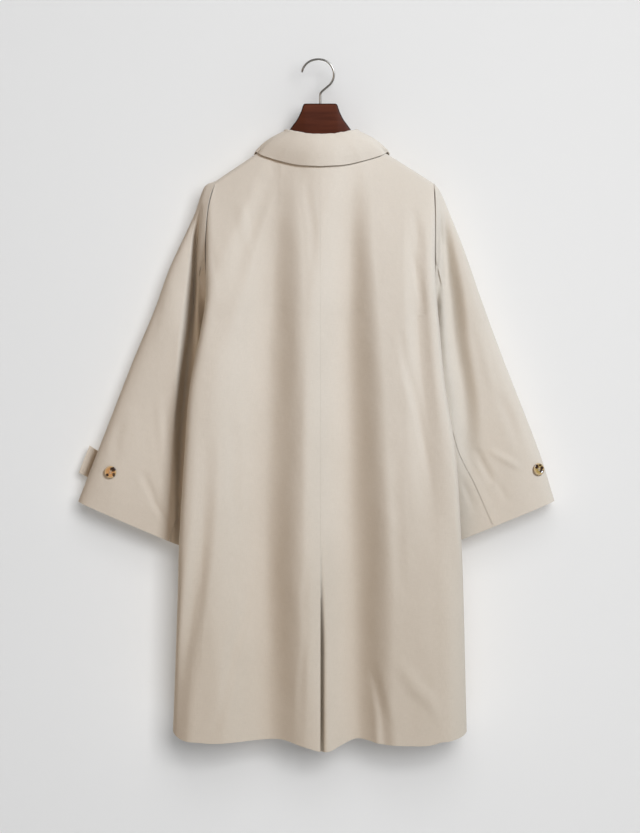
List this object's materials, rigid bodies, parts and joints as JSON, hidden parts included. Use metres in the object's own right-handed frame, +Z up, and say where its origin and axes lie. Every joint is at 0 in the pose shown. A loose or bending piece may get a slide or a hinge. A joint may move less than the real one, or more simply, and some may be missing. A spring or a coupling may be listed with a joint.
{
  "type": "car coat on a wooden hanger",
  "caption": "Knee-length car coat in plain cotton twill with a turned-down collar, cuff straps and a back vent, hung on a wooden hanger with a wire hook.",
  "frame": {"origin": "crown of the hook's inside, where the hook sits on the peg or rail that holds it", "axes": "+Z up, +Y out of the coat's back, +X to the wearer's left; the fronts face -Y"},
  "size_m": [0.8105, 0.1196, 1.1643],
  "materials": {
    "cloth": "matte beige cotton twill",
    "button": "polished tortoiseshell, amber with dark brown patches",
    "hanger_wood": "dark reddish brown stain, satin",
    "hanger_hook": "polished steel wire"
  },
  "bodies": {
    "root": {"back_left": "cloth", "back_right": "cloth", "front_left": "cloth", "front_right": "cloth", "sleeve_left_top": "cloth", "sleeve_left_under": "cloth", "sleeve_right_top": "cloth", "sleeve_right_under": "cloth", "collar_stand": "cloth", "collar_fall": "cloth", "strap_left": "cloth", "strap_right": "cloth", "button_back_left": "button", "button_back_right": "button", "button_strap_left": "button", "button_strap_right": "button", "button_front_1": "button", "button_front_2": "button", "button_front_3": "button", "button_front_4": "button", "button_front_5": "button", "hanger_wood": "hanger_wood", "hanger_hook": "hanger_hook"}
  },
  "joints": []
}
